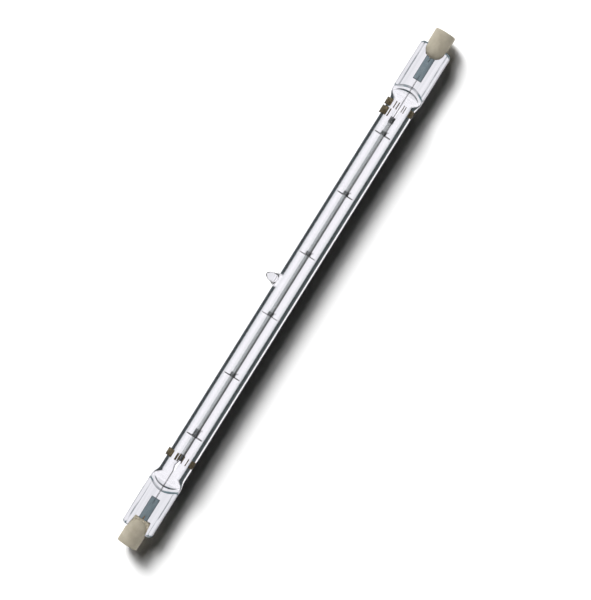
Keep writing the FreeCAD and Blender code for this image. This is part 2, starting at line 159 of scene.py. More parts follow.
def build(name, points, faces, materials, smooth_faces=True):
    """A mesh object from points in millimetres."""
    mesh = bpy.data.meshes.new(name)
    mesh.from_pydata([Vector(p) * MM for p in points], [], faces)
    mesh.polygons.foreach_set("use_smooth", [smooth_faces] * len(mesh.polygons))
    mesh.update()
    for material in materials:
        mesh.materials.append(material)
    piece = bpy.data.objects.new(name, mesh)
    bpy.context.scene.collection.objects.link(piece)
    return piece


def add_skin(points, faces, rings, inward=False):
    """Joins rings of equal length into a closed skin, fanned shut at both ends."""
    base, count, start = len(points), len(rings[0]), len(faces)
    for ring in rings:
        points.extend(ring)
    for i in range(len(rings) - 1):
        for j in range(count):
            a, b = base + i * count + j, base + i * count + (j + 1) % count
            faces.append((a, b, b + count, a + count))
    for ring_index, flipped in ((0, True), (len(rings) - 1, False)):
        first, centre = base + ring_index * count, len(points)
        points.append(sum((Vector(p) for p in rings[ring_index]), Vector()) / count)
        for j in range(count):
            a, b = first + j, first + (j + 1) % count
            faces.append((b, a, centre) if flipped else (a, b, centre))
    if inward:
        faces[start:] = [tuple(reversed(face)) for face in faces[start:]]


def round_angles(count):
    """Angles over a whole turn, without its end."""
    return [2 * math.pi * j / count for j in range(count)]


def quarter_angles(count):
    """Angles over a quarter turn, without its end."""
    return [math.pi / 2 * i / count for i in range(count)]


def lathe_rings(profile, segments=64):
    """Rings of a profile of (x, radius) pairs turned about the lamp's axis."""
    turn = round_angles(segments)
    return [[Vector((x, r * math.cos(a), r * math.sin(a))) for a in turn] for x, r in profile]


def tube_rings(path, radii, sides):
    """Rings of a round wire along a path, kept from twisting."""
    rings = []
    normal = None
    for i, point in enumerate(path):
        ahead = path[min(i + 1, len(path) - 1)] - path[max(i - 1, 0)]
        ahead.normalize()
        if normal is None:
            normal = ahead.orthogonal()
        normal = (normal - ahead * normal.dot(ahead)).normalized()
        other = ahead.cross(normal)
        turn = round_angles(sides)
        rings.append([point + (normal * math.cos(a) + other * math.sin(a)) * radii[i] for a in turn])
    return rings


def plate_rings(rows, columns, place):
    """Rings of a thin plate; place gives x, y and the upper and lower z for two shares from 0 to 1."""
    rings = []
    for i in range(rows + 1):
        upper, lower = [], []
        for j in range(columns + 1):
            x, y, top, bottom = place(i / rows, j / columns)
            upper.append(Vector((x, y, top)))
            lower.append(Vector((x, y, bottom)))
        rings.append([*upper, *reversed(lower)])
    return rings


def wire(name, path, radius, material, sides=8):
    """A round wire along a path, with one radius or a list of them."""
    points, faces = [], []
    radii = radius if isinstance(radius, list) else [radius] * len(path)
    add_skin(points, faces, tube_rings(path, radii, sides))
    return build(name, points, faces, [material])


def helix(x0, x1, radius, turns, per_turn=20):
    """A path that winds round the lamp's axis."""
    count = int(turns * per_turn) + 1
    path = []
    for i in range(count):
        t = i / (count - 1)
        a = 2 * math.pi * turns * t
        path.append(Vector((x0 + (x1 - x0) * t, radius * math.cos(a), radius * math.sin(a))))
    return path


def apply_modifiers(piece):
    """Keeps what the modifiers make of a mesh, and takes them off."""
    graph = bpy.context.evaluated_depsgraph_get()
    made = bpy.data.meshes.new_from_object(piece.evaluated_get(graph))
    piece.modifiers.clear()
    piece.data = made


def cut(piece, tool):
    """Takes the tool's shape out of a piece, and the tool away."""
    modifier = piece.modifiers.new("cut", "BOOLEAN")
    modifier.operation = "DIFFERENCE"
    modifier.solver = "EXACT"
    modifier.object = tool
    apply_modifiers(piece)
    bpy.data.objects.remove(tool)


def stands_for(piece, slot, *names, substance=None):
    """Puts a piece in place of CAD nodes, and notes its substance for the lights."""
    PIECES.append(piece)
    piece["substance"] = substance or slot
    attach(piece, "root")
    if names:
        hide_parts(*names)
    return piece


# Materials; noise scales are in waves a metre


class Nodes:
    """A new material's node tree, with short ways to add nodes and links."""

    def __init__(self, name):
        self.material = bpy.data.materials.new(name)
        self.material.use_nodes = True
        self.tree = self.material.node_tree
        self.shader = self.tree.nodes["Principled BSDF"]
        coordinates = self.add("ShaderNodeTexCoord")
        self.place, self.normal = coordinates.outputs["Object"], coordinates.outputs["Normal"]

    def add(self, kind, **values):
        node = self.tree.nodes.new(kind)
        for name, value in values.items():
            setattr(node, name, value)
        return node

    def link(self, output, target):
        self.tree.links.new(output, target)

    def set(self, **values):
        """Sets values on the shader's own sockets."""
        for name, value in values.items():
            self.shader.inputs[name.replace("_", " ")].default_value = value

    def drive(self, name, output):
        """Links an output to one of the shader's sockets."""
        self.link(output, self.shader.inputs[name])

    def noise(self, scale, detail=4.0, stretch=(1, 1, 1)):
        mapping = self.add("ShaderNodeMapping")
        mapping.inputs["Scale"].default_value = stretch
        self.link(self.place, mapping.inputs["Vector"])
        texture = self.add("ShaderNodeTexNoise")
        texture.inputs["Scale"].default_value = scale
        texture.inputs["Detail"].default_value = detail
        self.link(mapping.outputs["Vector"], texture.inputs["Vector"])
        return texture.outputs["Fac"]

    def ramp(self, factor, stops):
        """A colour read from (place, colour) stops."""
        ramp = self.add("ShaderNodeValToRGB")
        elements = ramp.color_ramp.elements
        while len(elements) < len(stops):
            elements.new(0.5)
        for element, (position, colour) in zip(elements, stops):
            element.position = position
            element.color = (*colour, 1)
        self.link(factor, ramp.inputs["Fac"])
        return ramp.outputs["Color"]

    def scaled(self, factor, low, high, start=0.0, end=1.0):
        """Takes a factor from start to end over to low to high, and no further."""
        scaled = self.add("ShaderNodeMapRange")
        for name, value in (("From Min", start), ("From Max", end), ("To Min", low), ("To Max", high)):
            scaled.inputs[name].default_value = value
        self.link(factor, scaled.inputs["Value"])
        return scaled.outputs["Result"]

    def rise(self, factor, start, end):
        return self.scaled(factor, 0, 1, start, end)

    def fall(self, factor, start, end):
        return self.scaled(factor, 1, 0, start, end)

    def math(self, operation, first, second=None):
        node = self.add("ShaderNodeMath", operation=operation)
        self.link(first, node.inputs[0])
        if isinstance(second, float):
            node.inputs[1].default_value = second
        elif second is not None:
            self.link(second, node.inputs[1])
        return node.outputs["Value"]

    def absolute(self, value):
        return self.math("ABSOLUTE", value)

    def times(self, mask, *others):
        for other in others:
            mask = self.math("MULTIPLY", mask, other)
        return mask

    def split(self, vector):
        node = self.add("ShaderNodeSeparateXYZ")
        self.link(vector, node.inputs["Vector"])
        return node.outputs

    def mix(self, factor, colour, other):
        """The colour, turning into the other as the factor goes to one; each is a tuple or a socket."""
        node = self.add("ShaderNodeMix", data_type="RGBA")
        self.link(factor, node.inputs["Factor"])
        for name, value in (("A", colour), ("B", other)):
            if isinstance(value, tuple):
                node.inputs[name].default_value = (*value, 1)
            else:
                self.link(value, node.inputs[name])
        return node.outputs["Result"]

    def facing(self):
        weight = self.add("ShaderNodeLayerWeight")
        weight.inputs["Blend"].default_value = 0.5
        return weight.outputs["Facing"]

    def bump(self, height, strength, distance):
        bump = self.add("ShaderNodeBump")
        bump.inputs["Strength"].default_value = strength
        bump.inputs["Distance"].default_value = distance
        self.link(height, bump.inputs["Height"])
        self.drive("Normal", bump.outputs["Normal"])


# Quartz, whose base colour is painted from clear through painted shade to the dark of the surroundings that
# it bends into view

CLEAR = (1.0, 1.0, 1.0)
INSIDE = (0.6, 0.595, 0.62)
# Painted shade, light, on the tube towards its flanks and over the exhaust tip
HALF_SHADE = (0.525, 0.525, 0.545)
# Painted shade nearer the flanks, and also the tint of the faint streaks along the seals
SHADE_AND_STREAK = (0.45, 0.455, 0.475)
SHEEN = (0.44, 0.447, 0.465)
# Painted shade, deepest just before the dark band
DUSK_SHADE = (0.38, 0.395, 0.415)
# Near black of the painted dark arcs and rail lines in the seals
ARC_SHADE = (0.01, 0.026, 0.032)
# Near black of the painted dark band along each flank, standing for dark surroundings bent into view
PAINTED_DARK_BAND = (0.0003, 0.0008, 0.001)


def flank_stops(soft, dusk, band_from, band_to, clear):
    """Painted shade by how far the tube turns away, with a painted dark band."""
    middle = [(0.0, INSIDE), (0.06, INSIDE), (0.12, HALF_SHADE), (soft, SHADE_AND_STREAK), (dusk, DUSK_SHADE)]
    return [*middle, (band_from, PAINTED_DARK_BAND), (band_to, PAINTED_DARK_BAND), (clear, CLEAR), (1.0, CLEAR)]


HIGH_FLANK_STOPS = flank_stops(0.16, 0.2, 0.255, 0.445, 0.515)
LOW_FLANK_STOPS = flank_stops(0.17, 0.21, 0.265, 0.53, 0.6)
PLAIN_STOPS = [(0.0, INSIDE), (0.25, INSIDE), (0.5, CLEAR), (1.0, CLEAR)]


class Quartz(Nodes):
    """Clear fused quartz. Its painted shade and painted dark lines, which stand for dark surroundings bent
    into view, are worked out from the surface's direction and place.
    """

    def __init__(self, name):
        super().__init__(name)
        self.set(IOR=1.458, Roughness=0.0, Transmission_Weight=1.0, Specular_Tint=(0.5, 0.5, 0.5, 1))
        self.bump(self.noise(260, 2.0, (0.25, 1, 1)), 0.04, 0.2 * MM)
        self.turn, self.at = self.split(self.normal), self.split(self.place)
        self.sideways = self.absolute(self.turn["Y"])
        self.reach = self.absolute(self.at["X"])
        self.in_seal = self.rise(self.reach, (SEAL_START + 0.1) * MM, (SEAL_START + 0.3) * MM)

    def painted_flank_lines(self):
        """A painted dark line along each flank of the tube, over painted shade, wider on the -Y side where
        the shadow lies, and none on the underside.
        """
        high = self.ramp(self.facing(), HIGH_FLANK_STOPS)
        low = self.ramp(self.facing(), LOW_FLANK_STOPS)
        colour = self.mix(self.fall(self.turn["Y"], -0.1, 0.1), high, low)
        colour = self.mix(self.fall(self.sideways, 0.4, 0.58), colour, INSIDE)
        underside = self.fall(self.turn["Z"], 0.38, 0.46)
        return self.mix(underside, colour, self.ramp(self.facing(), PLAIN_STOPS))

    def beside_coil(self):
        """The coil's soft reflection along the top of the tube."""
        streak = self.times(self.rise(self.turn["Y"], 0.0, 0.1), self.fall(self.turn["Y"], 0.14, 0.34))
        on_tube = self.fall(self.reach, (TUBE_END - 3) * MM, TUBE_END * MM)
        return self.times(streak, on_tube, self.rise(self.turn["Z"], 0.0, 0.5))

    def round_tip(self):
        """The tube's flank at the foot of the exhaust tip, where its painted dark line breaks off."""
        from_tip = self.absolute(self.math("SUBTRACT", self.at["X"], TIP_X * MM))
        return self.times(
            self.fall(from_tip, 1.7 * MM, 2.4 * MM),
            self.rise(self.at["Y"], 2.6 * MM, 3.2 * MM),
        )

    # Painted shade over the top of the exhaust tip
    def painted_tip_shade(self):
        return self.rise(self.at["Y"], 4.8 * MM, 5.6 * MM)

    def drawn_streaks(self):
        """Faint streaks along the pressed seals."""
        streaks = self.scaled(self.noise(900, 2.0, (0.02, 1, 1)), 0.3, 0.95, 0.4, 0.65)
        return self.times(streaks, self.in_seal)

    def arcs(self, lean_from, lean_to):
        """Painted dark arcs where the jaws' step or the bore's end leans along the lamp, a little broken;
        they stand for dark surroundings bent into view.
        """
        steep = self.rise(self.absolute(self.turn["X"]), lean_from, lean_to)
        broken = self.scaled(self.noise(260, 1.0), 0.6, 1, 0.38, 0.52)
        return self.times(steep, self.in_seal, broken)

    def painted_rail_lines(self):
        """Painted dark lines where a seal's web turns up into its rails, in patches."""
        leaning = self.rise(self.sideways, 0.25, 0.5)
        inside_rails = self.fall(self.absolute(self.at["Y"]), 4.45 * MM, 4.65 * MM)
        patchy = self.scaled(self.noise(420, 3.0, (0.3, 1, 1)), 0, 0.85, 0.42, 0.6)
        return self.times(leaning, inside_rails, self.in_seal, patchy)


def quartz_skin():
    """The outside of the quartz, with painted shade, painted dark lines and arcs, and a painted reflection
    of the coil in its base colour.
    """
    made = Quartz("quartz")
    colour = made.painted_flank_lines()
    for mask, tint in (
        (made.beside_coil(), SHEEN),
        (made.round_tip(), INSIDE),
        (made.painted_tip_shade(), HALF_SHADE),
        (made.drawn_streaks(), SHADE_AND_STREAK),
        (made.arcs(0.1, 0.22), ARC_SHADE),
        (made.painted_rail_lines(), ARC_SHADE),
    ):
        colour = made.mix(mask, colour, tint)
    made.drive("Base Color", colour)
    return made.material


def quartz_bore():
    """The inside of the quartz, clear up to where the bore closes in the seals, with painted dark arcs where
    the bore ends.
    """
    made = Quartz("quartz_bore")
    made.drive("Base Color", made.mix(made.arcs(0.3, 0.55), CLEAR, ARC_SHADE))
    return made.material


# The other materials


def ceramic():
    """Unglazed beige ceramic with fine grain and faint stains."""
    made = Nodes("ceramic")
    stains = [(0.3, (0.43, 0.385, 0.3)), (0.55, (0.5, 0.455, 0.36)), (0.8, (0.54, 0.5, 0.41))]
    made.drive("Base Color", made.ramp(made.noise(420, 3.0), stains))
    made.drive("Roughness", made.scaled(made.noise(1500), 0.72, 0.95))
    made.set(Specular_IOR_Level=0.3)
    made.bump(made.noise(5200, 6.0), 0.35, 0.06 * MM)
    return made.material


def cement():
    """Rough pale cement with pits and darker crumbs."""
    made = Nodes("cement")
    crumbs = [(0.3, (0.26, 0.21, 0.14)), (0.5, (0.5, 0.45, 0.35)), (0.75, (0.62, 0.58, 0.48))]
    made.drive("Base Color", made.ramp(made.noise(2400, 6.0), crumbs))
    made.set(Roughness=0.95)
    made.bump(made.noise(3600, 8.0), 0.8, 0.15 * MM)
    return made.material


def metal(name, dark, light, roughness, grain_scale, stretch=(1, 1, 1), shine=1.0):
    """Drawn or rolled metal, with its colour, gloss and surface broken up along the grain."""
    made = Nodes(name)
    grain = made.noise(grain_scale, 5.0, stretch)
    made.drive("Base Color", made.ramp(grain, [(0.3, dark), (0.7, light)]))
    made.drive("Roughness", made.scaled(grain, roughness - 0.1, roughness + 0.1))
    made.set(Metallic=shine, Specular_IOR_Level=0.5 * shine)
    made.bump(grain, 0.25, 0.03 * MM)
    return made.material


def ink():
    """Brown stamping ink, patchy where it took badly."""
    made = Nodes("ink")
    wear = made.noise(1500, 4.0)
    browns = [(0.3, (0.02, 0.015, 0.006)), (0.5, (0.075, 0.058, 0.03)), (0.7, (0.17, 0.135, 0.08))]
    made.drive("Base Color", made.ramp(wear, browns))
    made.drive("Roughness", made.scaled(wear, 0.6, 0.9))
    made.set(Specular_IOR_Level=0.2)
    return made.material


QUARTZ = quartz_skin()
QUARTZ_BORE = quartz_bore()
CERAMIC = ceramic()
CEMENT = cement()
NICKEL = metal("nickel", (0.42, 0.41, 0.38), (0.66, 0.65, 0.62), 0.35, 900)
MOLYBDENUM = metal("molybdenum", (0.24, 0.24, 0.25), (0.4, 0.4, 0.41), 0.4, 1600, (0.2, 1, 1))
OXIDISED = metal("oxidised_lead", (0.12, 0.07, 0.03), (0.34, 0.22, 0.12), 0.55, 1500)
FOIL = metal("foil", (0.1, 0.13, 0.145), (0.15, 0.185, 0.2), 0.5, 1100, (0.3, 1, 1))
TUNGSTEN = metal("tungsten", (0.18, 0.19, 0.195), (0.26, 0.27, 0.275), 0.6, 2600, shine=0.05)
SUPPORT_WIRE = metal("support_wire", (0.014, 0.016, 0.017), (0.04, 0.043, 0.045), 0.5, 1900, shine=0.15)
INK = ink()


# Quartz envelope


def tip_height(profile, x, z):
    """Height of the exhaust tip, or of its hollow, above the lamp's axis."""
    return along(profile, math.hypot(x - TIP_X, z))


def rounded_section(share, half_width, half_height):
    """A point on a quarter of a rectangle with rounded edges, by its share of the length from +Y."""
    edge = min(EDGE_RADIUS, half_width, half_height)
    side, bend, top = half_height - edge, math.pi / 2 * edge, half_width - edge
    run = share * (side + bend + top)
    if run < side:
        return half_width, run
    if run < side + bend:
        a = (run - side) / edge
        return half_width - edge + edge * math.cos(a), half_height - edge + edge * math.sin(a)
    return half_width - edge - (run - side - bend), half_height


def seal_point(reach, angle):
    """Distances in Y and Z of a point on the pressed seal, at a reach from the lamp's middle."""
    half_width = SEAL_HALF
    in_corner = reach - (SEAL_END - CORNER_RADIUS)
    if in_corner > 0:
        half_width += math.sqrt(max(CORNER_RADIUS**2 - in_corner**2, 0)) - CORNER_RADIUS
    share = math.asin(min(abs(math.sin(angle)), 1)) / (math.pi / 2)
    y, z = rounded_section(share, half_width, RAIL_HALF_HEIGHT)
    arch = SEAL_START + JAW_GAP + JAW_ARCH * (1 - (y / ARCH_HALF) ** 2)
    past_arch = smooth((reach - arch) / ARCH_RUN)
    in_web = smooth((SEAL_HALF - RAIL_WIDTH + RAIL_SLOPE / 2 - y) / RAIL_SLOPE)
    web_step = RAIL_HALF_HEIGHT - WEB_HALF_HEIGHT - RAIL_STEP
    z -= (RAIL_STEP + web_step * in_web) * past_arch * min(1, 4 * share)
    in_end = reach - (SEAL_END - END_ROUND)
    if in_end > 0:
        z -= min(END_ROUND - math.sqrt(max(END_ROUND**2 - in_end**2, 0)), 0.9 * z)
    return y, z


def outer_point(x, angle):
    """A point of the outer skin at x, for an angle from +Y towards +Z."""
    reach = abs(x)
    round_y, round_z = TUBE_RADIUS * math.cos(angle), TUBE_RADIUS * math.sin(angle)
    if reach <= TUBE_END:
        if round_y > 0:
            round_y = soft_max(round_y, tip_height(TIP_PROFILE, x, round_z), TIP_FILLET)
        return Vector((x, round_y, round_z))
    flat_y, flat_z = seal_point(reach, angle)
    flat_y = math.copysign(flat_y, math.cos(angle))
    flat_z = math.copysign(flat_z, math.sin(angle))
    t = (reach - TUBE_END) / (SEAL_START - TUBE_END)
    y = round_y + (flat_y - round_y) * smooth(t**SHOULDER_EASE_Y)
    z = round_z + (flat_z - round_z) * smooth(t**SHOULDER_EASE_Z)
    return Vector((x, y, z))


def bore_point(x, angle):
    """A point of the bore's skin, up to where it closes inside the seal."""
    radius = TUBE_RADIUS - WALL
    reach = abs(x)
    t = smooth((reach - TUBE_END) / (SEAL_START - TUBE_END))
    half_width = radius + (BORE_SEAL_HALF - radius) * t
    half_height = radius + (BORE_SEAL_HEIGHT - radius) * t
    narrow = max(reach - SEAL_START + BORE_ROUND, 0) / (BORE_REACH + BORE_ROUND)
    shallow = max(reach - SEAL_START, 0) / BORE_REACH
    y = half_width * math.sqrt(max(1 - narrow**2, 0)) * math.cos(angle)
    z = half_height * math.sqrt(max(1 - shallow**2, 0)) * math.sin(angle)
    if reach < TUBE_END and y > 0:
        y = soft_max(y, tip_height(HOLLOW_PROFILE, x, z), HOLLOW_FILLET)
    return Vector((x, y, z))


def envelope():
    """Outer skin and bore in one mesh, finest at the exhaust tip, the shoulders and the jaws' step."""
    angles = spread(-TIP_ANGLE, TIP_ANGLE, 0.02) + spread(TIP_ANGLE, 2 * math.pi - TIP_ANGLE, 0.055)
    tip_from, tip_to = TIP_X - TIP_SPAN, TIP_X + TIP_SPAN
    tube = spread(-TUBE_END, tip_from, 2.5) + spread(tip_from, tip_to, 0.08) + spread(tip_to, TUBE_END, 2.5)
    shoulder = spread(TUBE_END, SEAL_START, 0.2)
    corner_start = SEAL_END - CORNER_RADIUS
    corner = [corner_start + CORNER_RADIUS * math.sin(a) for a in quarter_angles(10)]
    seal = [*spread(SEAL_START, STEP_END, 0.12), *spread(STEP_END, corner_start, 1.2), *corner, SEAL_END]
    pocket = [SEAL_START + BORE_REACH * math.sin(a) for a in quarter_angles(16)]

    points, faces, materials = [], [], []
    for number, (point_at, end) in enumerate(((outer_point, seal), (bore_point, pocket))):
        right = [*shoulder, *end]
        stations = [*(-x for x in reversed(right)), *tube[1:], *right]
        rings = [[point_at(x, a) for a in angles] for x in stations]
        add_skin(points, faces, rings, inward=point_at is bore_point)
        materials += [number] * (len(faces) - len(materials))
    piece = build("envelope", points, faces, [QUARTZ, QUARTZ_BORE])
    piece.data.polygons.foreach_set("material_index", materials)
    stands_for(piece, "quartz", "quartz_envelope")


# Caps, cement and contacts


def turned_solid(name, profile, side, material, segments=64):
    """A solid turned from (depth from the lamp's end, radius) pairs, at one end of the lamp."""
    points, faces = [], []
    places = [(side * (LAMP_END + x), r) for x, r in profile]
    add_skin(points, faces, lathe_rings(places, segments), inward=side > 0)
    return build(name, points, faces, [material])


def slot_tool(word, side):
    """The block that cuts a cap's slot, reaching past the cap on every side but the slot's floor."""
    points, faces = [], []
    section = [(-5, -SLOT_HALF), (5, -SLOT_HALF), (5, SLOT_HALF), (-5, SLOT_HALF)]
    rings = [[Vector((side * (LAMP_END - x), y, z)) for y, z in section] for x in (SLOT_FLOOR, 12)]
    add_skin(points, faces, rings, inward=side > 0)
    return build(f"slot_{word}", points, faces, [CERAMIC], smooth_faces=False)


def ceramic_cap(word, side):
    """A turned cap with a rounded nose and soft edges, slotted for the seal and bored for the contact."""
    bore = [
        (-SLOT_FLOOR - 0.2, SHANK_HOLE_RADIUS),
        (-SEAT_DEPTH, SHANK_HOLE_RADIUS),
        (-SEAT_DEPTH, SEAT_RADIUS),
        (-RECESS_DEPTH - 0.02, SEAT_RADIUS),
        (-RECESS_DEPTH, RECESS_RADIUS),
        (-0.1, RECESS_RADIUS),
        (0, RECESS_RADIUS + 0.1),
    ]
    bend = CAP_RADIUS - CAP_EDGE
    rim = [(CAP_EDGE * (math.cos(a) - 1), bend + CAP_EDGE * math.sin(a)) for a in (0, 0.4, 0.8, 1.2, 1.57)]
    nose = [(-NOSE - CAP_RADIUS * math.sin(a), CAP_RADIUS * math.cos(a)) for a in quarter_angles(24)]
    profile = [*bore, *rim, *nose, (-CAP_LENGTH + 0.002, NEAR_AXIS)]
    cap = turned_solid(f"cap_{word}", profile, side, CERAMIC)
    cut(cap, slot_tool(word, side))
    cap.data.polygons.foreach_set("use_smooth", [True] * len(cap.data.polygons))
    bevel = cap.modifiers.new("soft_edges", "BEVEL")
    bevel.width = 0.12 * MM
    bevel.segments = 2
    bevel.limit_method = "ANGLE"
    bevel.angle_limit = math.radians(40)
    apply_modifiers(cap)
    cap.data.set_sharp_from_angle(angle=math.radians(50))
    stands_for(cap, "ceramic", f"ceramic_cap_{word}")


def cap_cement(word, side):
    """Cement between a cap's slot and the seal, ragged at the mouth and heaped up at the left-hand end."""
    heap = 0.75 if side < 0 else 0.12
    blunt = CAP_LENGTH + 0.05 if side < 0 else 0
    inner = WEB_HALF_HEIGHT + 0.005

    def layer(sign):
        def at(along_share, across_share):
            y = (2 * across_share - 1) * CEMENT_HALF
            mouth = NOSE + math.sqrt((CEMENT_HALF + 0.01) ** 2 - y**2)
            plateau = smooth((3.15 - abs(y + 0.05)) / 0.5) ** 0.15
            ragged = noise.noise(Vector((y * 1.7, sign * 3.0, side * 5.0)))
            front = max(mouth + 0.1, blunt * plateau) + 0.3 * ragged
            run = SLOT_FLOOR + 0.02 + (front - SLOT_FLOOR) * along_share
            lump = 0.5 + 0.5 * noise.noise(Vector((run * 2.3, y * 2.1, sign * 7.0 + side)))
            past_mouth = smooth((run - mouth + 0.5) / 0.5) * smooth((1 - along_share) / 0.1)
            outer = WEB_HALF_HEIGHT + 0.19 * smooth((1 - along_share) / 0.03) + heap * lump * past_mouth
            top, bottom = (outer, inner) if sign > 0 else (-inner, -outer)
            return side * (LAMP_END - run), y, top, bottom

        return at

    points, faces = [], []
    for sign in (1, -1):
        add_skin(points, faces, plate_rings(40, 48, layer(sign)), inward=side < 0)
    stands_for(build(f"cement_{word}", points, faces, [CEMENT]), "cement", f"cap_cement_{word}")


def contact_button(word, side):
    """A domed nickel button on its shank, at the bottom of the recess."""
    rim = BUTTON_RADIUS
    radii = (NEAR_AXIS, 0.4, 0.8, 1.1, 1.35, 1.55, 1.68, 1.76, rim)
    profile = [
        *((-RECESS_DEPTH - BUTTON_DOME * (r / rim) ** 4, r) for r in radii),
        (-SEAT_DEPTH + 0.05, rim),
        (-SEAT_DEPTH, rim - 0.06),
        (-SEAT_DEPTH, SHANK_RADIUS),
        (-SHANK_END + 0.08, SHANK_RADIUS),
        (-SHANK_END, SHANK_RADIUS - 0.1),
        (-SHANK_END, NEAR_AXIS),
    ]
    button = turned_solid(f"contact_{word}", profile, side, NICKEL, segments=48)
    button.data.set_sharp_from_angle(angle=math.radians(40))
    stands_for(button, "contact", f"contact_button_{word}")


# Foils, leads, filament and supports


def foil(word, side):
    """A thin foil with feather edges and slight creases."""
    low, high = FOIL_LOW, FOIL_HIGH
    middle, thick = (low.z + high.z) / 2, (high.z - low.z) / 2

    def at(along_share, across_share):
        x = low.x + (high.x - low.x) * along_share
        y = low.y + (high.y - low.y) * across_share
        crease = 0.02 * noise.noise(Vector((x * 0.9, y * 1.1, side)))
        lens = thick * max(1 - (2 * across_share - 1) ** 4, 0.08)
        return side * x, y, middle + crease + lens, middle + crease - lens

    points, faces = [], []
    add_skin(points, faces, plate_rings(40, 12, at), inward=side > 0)
    stands_for(build(f"foil_{word}", points, faces, [FOIL]), "foil", f"seal_foil_{word}")


def outer_lead(word, side):
    """The wire from the contact's shank to the foil, with a tapered weld end."""
    path = [Vector((side * x, 0, 0)) for x, _ in OUTER_LEAD]
    radii = [radius for _, radius in OUTER_LEAD]
    lead = wire(f"outer_lead_{word}", path, radii, OXIDISED if side < 0 else FOIL, sides=12)
    stands_for(lead, "molybdenum", f"outer_lead_{word}")


def inner_lead(word, side):
    """The wire from the foil to the filament, humped at the left-hand end; its weld end is like the foil."""
    path = []
    for i in range(LEAD_STEPS + 1):
        x = LEAD_START - (LEAD_START - (COIL_HALF + 0.2)) * i / LEAD_STEPS
        from_hump = (x - (COIL_HALF + HUMP_PLACE)) / HUMP_LENGTH
        hump = math.exp(-(from_hump**2)) if side < 0 else 0
        path.append(Vector((side * x, HUMP_HEIGHT * hump, 0)))
    radii = [min(LEAD_RADIUS, WELD_RADIUS + WELD_TAPER * (LEAD_START - abs(point.x))) for point in path]
    lead = wire(f"inner_lead_{word}", path, radii, MOLYBDENUM, sides=10)
    lead.data.materials.append(FOIL)
    for face in lead.data.polygons:
        face.material_index = int(abs(face.center.x) > FOIL_LOW.x * MM)
    stands_for(lead, "molybdenum", f"inner_lead_{word}")


def coil_grip(word, side):
    """Close turns of the lead over the end of the coil."""
    start, end = side * (COIL_HALF + 0.32), side * (COIL_HALF - GRIP_LENGTH)
    turns = helix(start, end, COIL_RADIUS + 0.08, GRIP_TURNS)
    path = [Vector((side * (COIL_HALF + 0.36), 0.15, 0)), *turns]
    grip = wire(f"coil_grip_{word}", path, GRIP_WIRE_RADIUS, SUPPORT_WIRE)
    stands_for(grip, "molybdenum", substance="grip")


def filament():
    """The wound coil."""
    turns = helix(-COIL_HALF, COIL_HALF, COIL_RADIUS - COIL_WIRE_RADIUS, COIL_TURNS, per_turn=11)
    stands_for(wire("coil", turns, COIL_WIRE_RADIUS, TUNGSTEN, sides=6), "tungsten", "filament")


def filament_support(number):
    """One wire: a ring that nearly closes, a spiral in towards the filament, and close turns round it."""
    name = f"filament_support_{number}"
    low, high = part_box(name)
    ring_x, knot_end = low.x / MM + CAD_WIRE_HALF, high.x / MM - CAD_WIRE_HALF
    grip = COIL_RADIUS + 0.15
    path = []
    for i in range(RING_STEPS + 1):
        a = math.radians(RING_SWEEP * (1 - i / RING_STEPS))
        path.append(Vector((ring_x, RING_RADIUS * math.cos(a), RING_RADIUS * math.sin(a))))
    for i in range(1, SPIRAL_STEPS):
        t = i / SPIRAL_STEPS
        reach = RING_RADIUS + (grip - RING_RADIUS) * smooth(t)
        path.append(Vector((ring_x, reach * math.cos(math.pi * t), -reach * math.sin(math.pi * t))))
    turns = round((knot_end - ring_x) / KNOT_PITCH)
    for point in helix(ring_x, knot_end, grip, turns):
        path.append(Vector((point.x, -point.y, point.z)))
    path.append(path[-1] + Vector((0.05, -0.5, 0.1)))
    support = wire(f"support_{number}", path, SUPPORT_WIRE_RADIUS, SUPPORT_WIRE)
    stands_for(support, "tungsten", name, substance="support")


# Ink stamped round the tube: from x to x, and patches by degrees from the top towards +Y

INK_ROWS = {
    "left": (-63.7, -61.2, [(34, 80), (12, 20), (4, 9), (-12, -8), (-30, -26), (-80, -42)]),
    "right_a": (62.4, 65.1, [(32, 80), (22, 27)]),
    "right_b": (65.6, 68.0, [(34, 80), (18, 22), (7, 11), (-14, -11), (-22, -19), (-80, -42)]),
}
INK_UNDER, INK_OVER = 0.004, 0.02


def ink_patch(name, x0, x1, from_deg, to_deg):
    """A thin patch of ink on the tube, between two angles."""
    points, faces = [], []
    steps = max(int((to_deg - from_deg) / 3), 2)
    for lift in (INK_UNDER, INK_OVER):
        radius = TUBE_RADIUS + lift
        for i in range(steps + 1):
            a = math.radians(from_deg + (to_deg - from_deg) * i / steps)
            points += [Vector((x, radius * math.sin(a), radius * math.cos(a))) for x in (x0, x1)]
    top = 2 * (steps + 1)
    for a in range(0, 2 * steps, 2):
        faces.append((top + a, top + a + 1, top + a + 3, top + a + 2))
        faces.append((a, a + 2, a + 3, a + 1))
        faces.append((a, top + a, top + a + 2, a + 2))
        faces.append((a + 1, a + 3, top + a + 3, top + a + 1))
    last = 2 * steps
    faces.append((0, 1, top + 1, top))
    faces.append((last, top + last, top + last + 1, last + 1))
    stands_for(build(name, points, faces, [INK]), "quartz", substance="ink")


def ink_rows():
    """Plain bars in place of the stamped words."""
    for name, (x0, x1, patches) in INK_ROWS.items():
        for number, (start, end) in enumerate(patches, start=1):
            ink_patch(f"ink_{name}_{number}", x0, x1, start, end)


# Stage

EYE_PLACE, EYE_RIGHT, EYE_LENS = (-1.41, -4.23, 1000), (0.5295, -0.8483, 0), 194.3
KEY, COIL_KEY, FOIL_KEY, OVERHEAD = (3, 5.1, 4.25), (1.5, 6, 4.9), (0.6, 1.2, 4), (0, 0, 1)
CARD_GLOW = 1.6
WORLD_SEEN, WORLD_SHED = 0.9, 0.022


